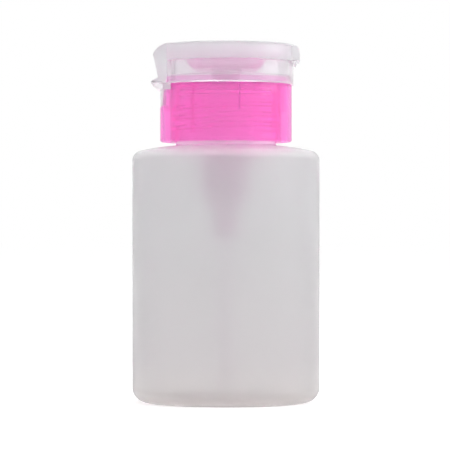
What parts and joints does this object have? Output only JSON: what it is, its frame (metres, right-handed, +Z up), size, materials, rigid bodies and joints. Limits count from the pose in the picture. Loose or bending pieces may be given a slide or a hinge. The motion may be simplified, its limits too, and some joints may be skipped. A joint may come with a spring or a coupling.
{
  "type": "pump bottle",
  "caption": "Round frosted bottle with a pink screw closure, a push-down piston pump under a round press dish, and a clear hinged flip lid.",
  "frame": {"origin": "centre of the bottle's foot, on the surface it stands on", "axes": "+Z up along the bottle's axis; -X towards the lid's hinge, +X towards its thumb tab"},
  "size_m": [0.06, 0.06, 0.1144],
  "materials": {
    "frosted_bottle": "frosted translucent blown plastic",
    "pink_plastic": "pink translucent moulded plastic, glossy",
    "clear_plastic": "clear, slightly milky moulded plastic",
    "milky_plastic": "milky translucent moulded plastic",
    "natural_plastic": "uncoloured moulded plastic",
    "tubing": "extruded translucent tube",
    "gasket_foam": "closed-cell foam liner",
    "spring_steel": "bright stainless steel"
  },
  "bodies": {
    "bottle": {"bottle": "frosted_bottle"},
    "pump": {"neck_gasket": "gasket_foam", "pump_housing": "natural_plastic", "housing_retainer": "natural_plastic", "dip_tube": "tubing", "return_spring": "spring_steel"},
    "plunger": {"press_dish": "milky_plastic", "spout_insert": "natural_plastic", "piston_stem": "natural_plastic", "piston": "natural_plastic"},
    "inlet_check": {"inlet_ball": "spring_steel"},
    "outlet_check": {"outlet_ball": "spring_steel"},
    "closure": {"collar": "pink_plastic", "hinge_ring": "clear_plastic"},
    "lid": {"lid": "clear_plastic"}
  },
  "joints": [
    {"name": "pump_lift", "type": "slide", "parent": "bottle", "child": "pump", "axis": [0, 0, 1], "range_m": [0, 0.00636]},
    {"name": "closure_turn", "type": "hinge", "parent": "pump", "child": "closure", "pos_m": [0, 0, 0.1009], "axis": [0, 0, 1], "range_deg": [0, 720]},
    {"name": "lid_hinge", "type": "hinge", "parent": "closure", "child": "lid", "pos_m": [-0.0236, 0, 0.102], "axis": [0, -1, 0], "range_deg": [0, 170]},
    {"name": "plunger_press", "type": "slide", "parent": "pump", "child": "plunger", "axis": [0, 0, -1], "range_m": [0, 0.0045], "stiffness_N_per_m": 900, "springref_m": -0.002, "deforming": ["return_spring"]},
    {"name": "inlet_valve", "type": "slide", "parent": "pump", "child": "inlet_check", "axis": [0, 0, 1], "range_m": [0, 0.0015]},
    {"name": "outlet_valve", "type": "slide", "parent": "plunger", "child": "outlet_check", "axis": [0, 0, 1], "range_m": [0, 0.0008]}
  ],
  "couplings": [
    {"joint": "pump_lift", "follows": "closure_turn", "m_per_rad": 0.00050532}
  ]
}
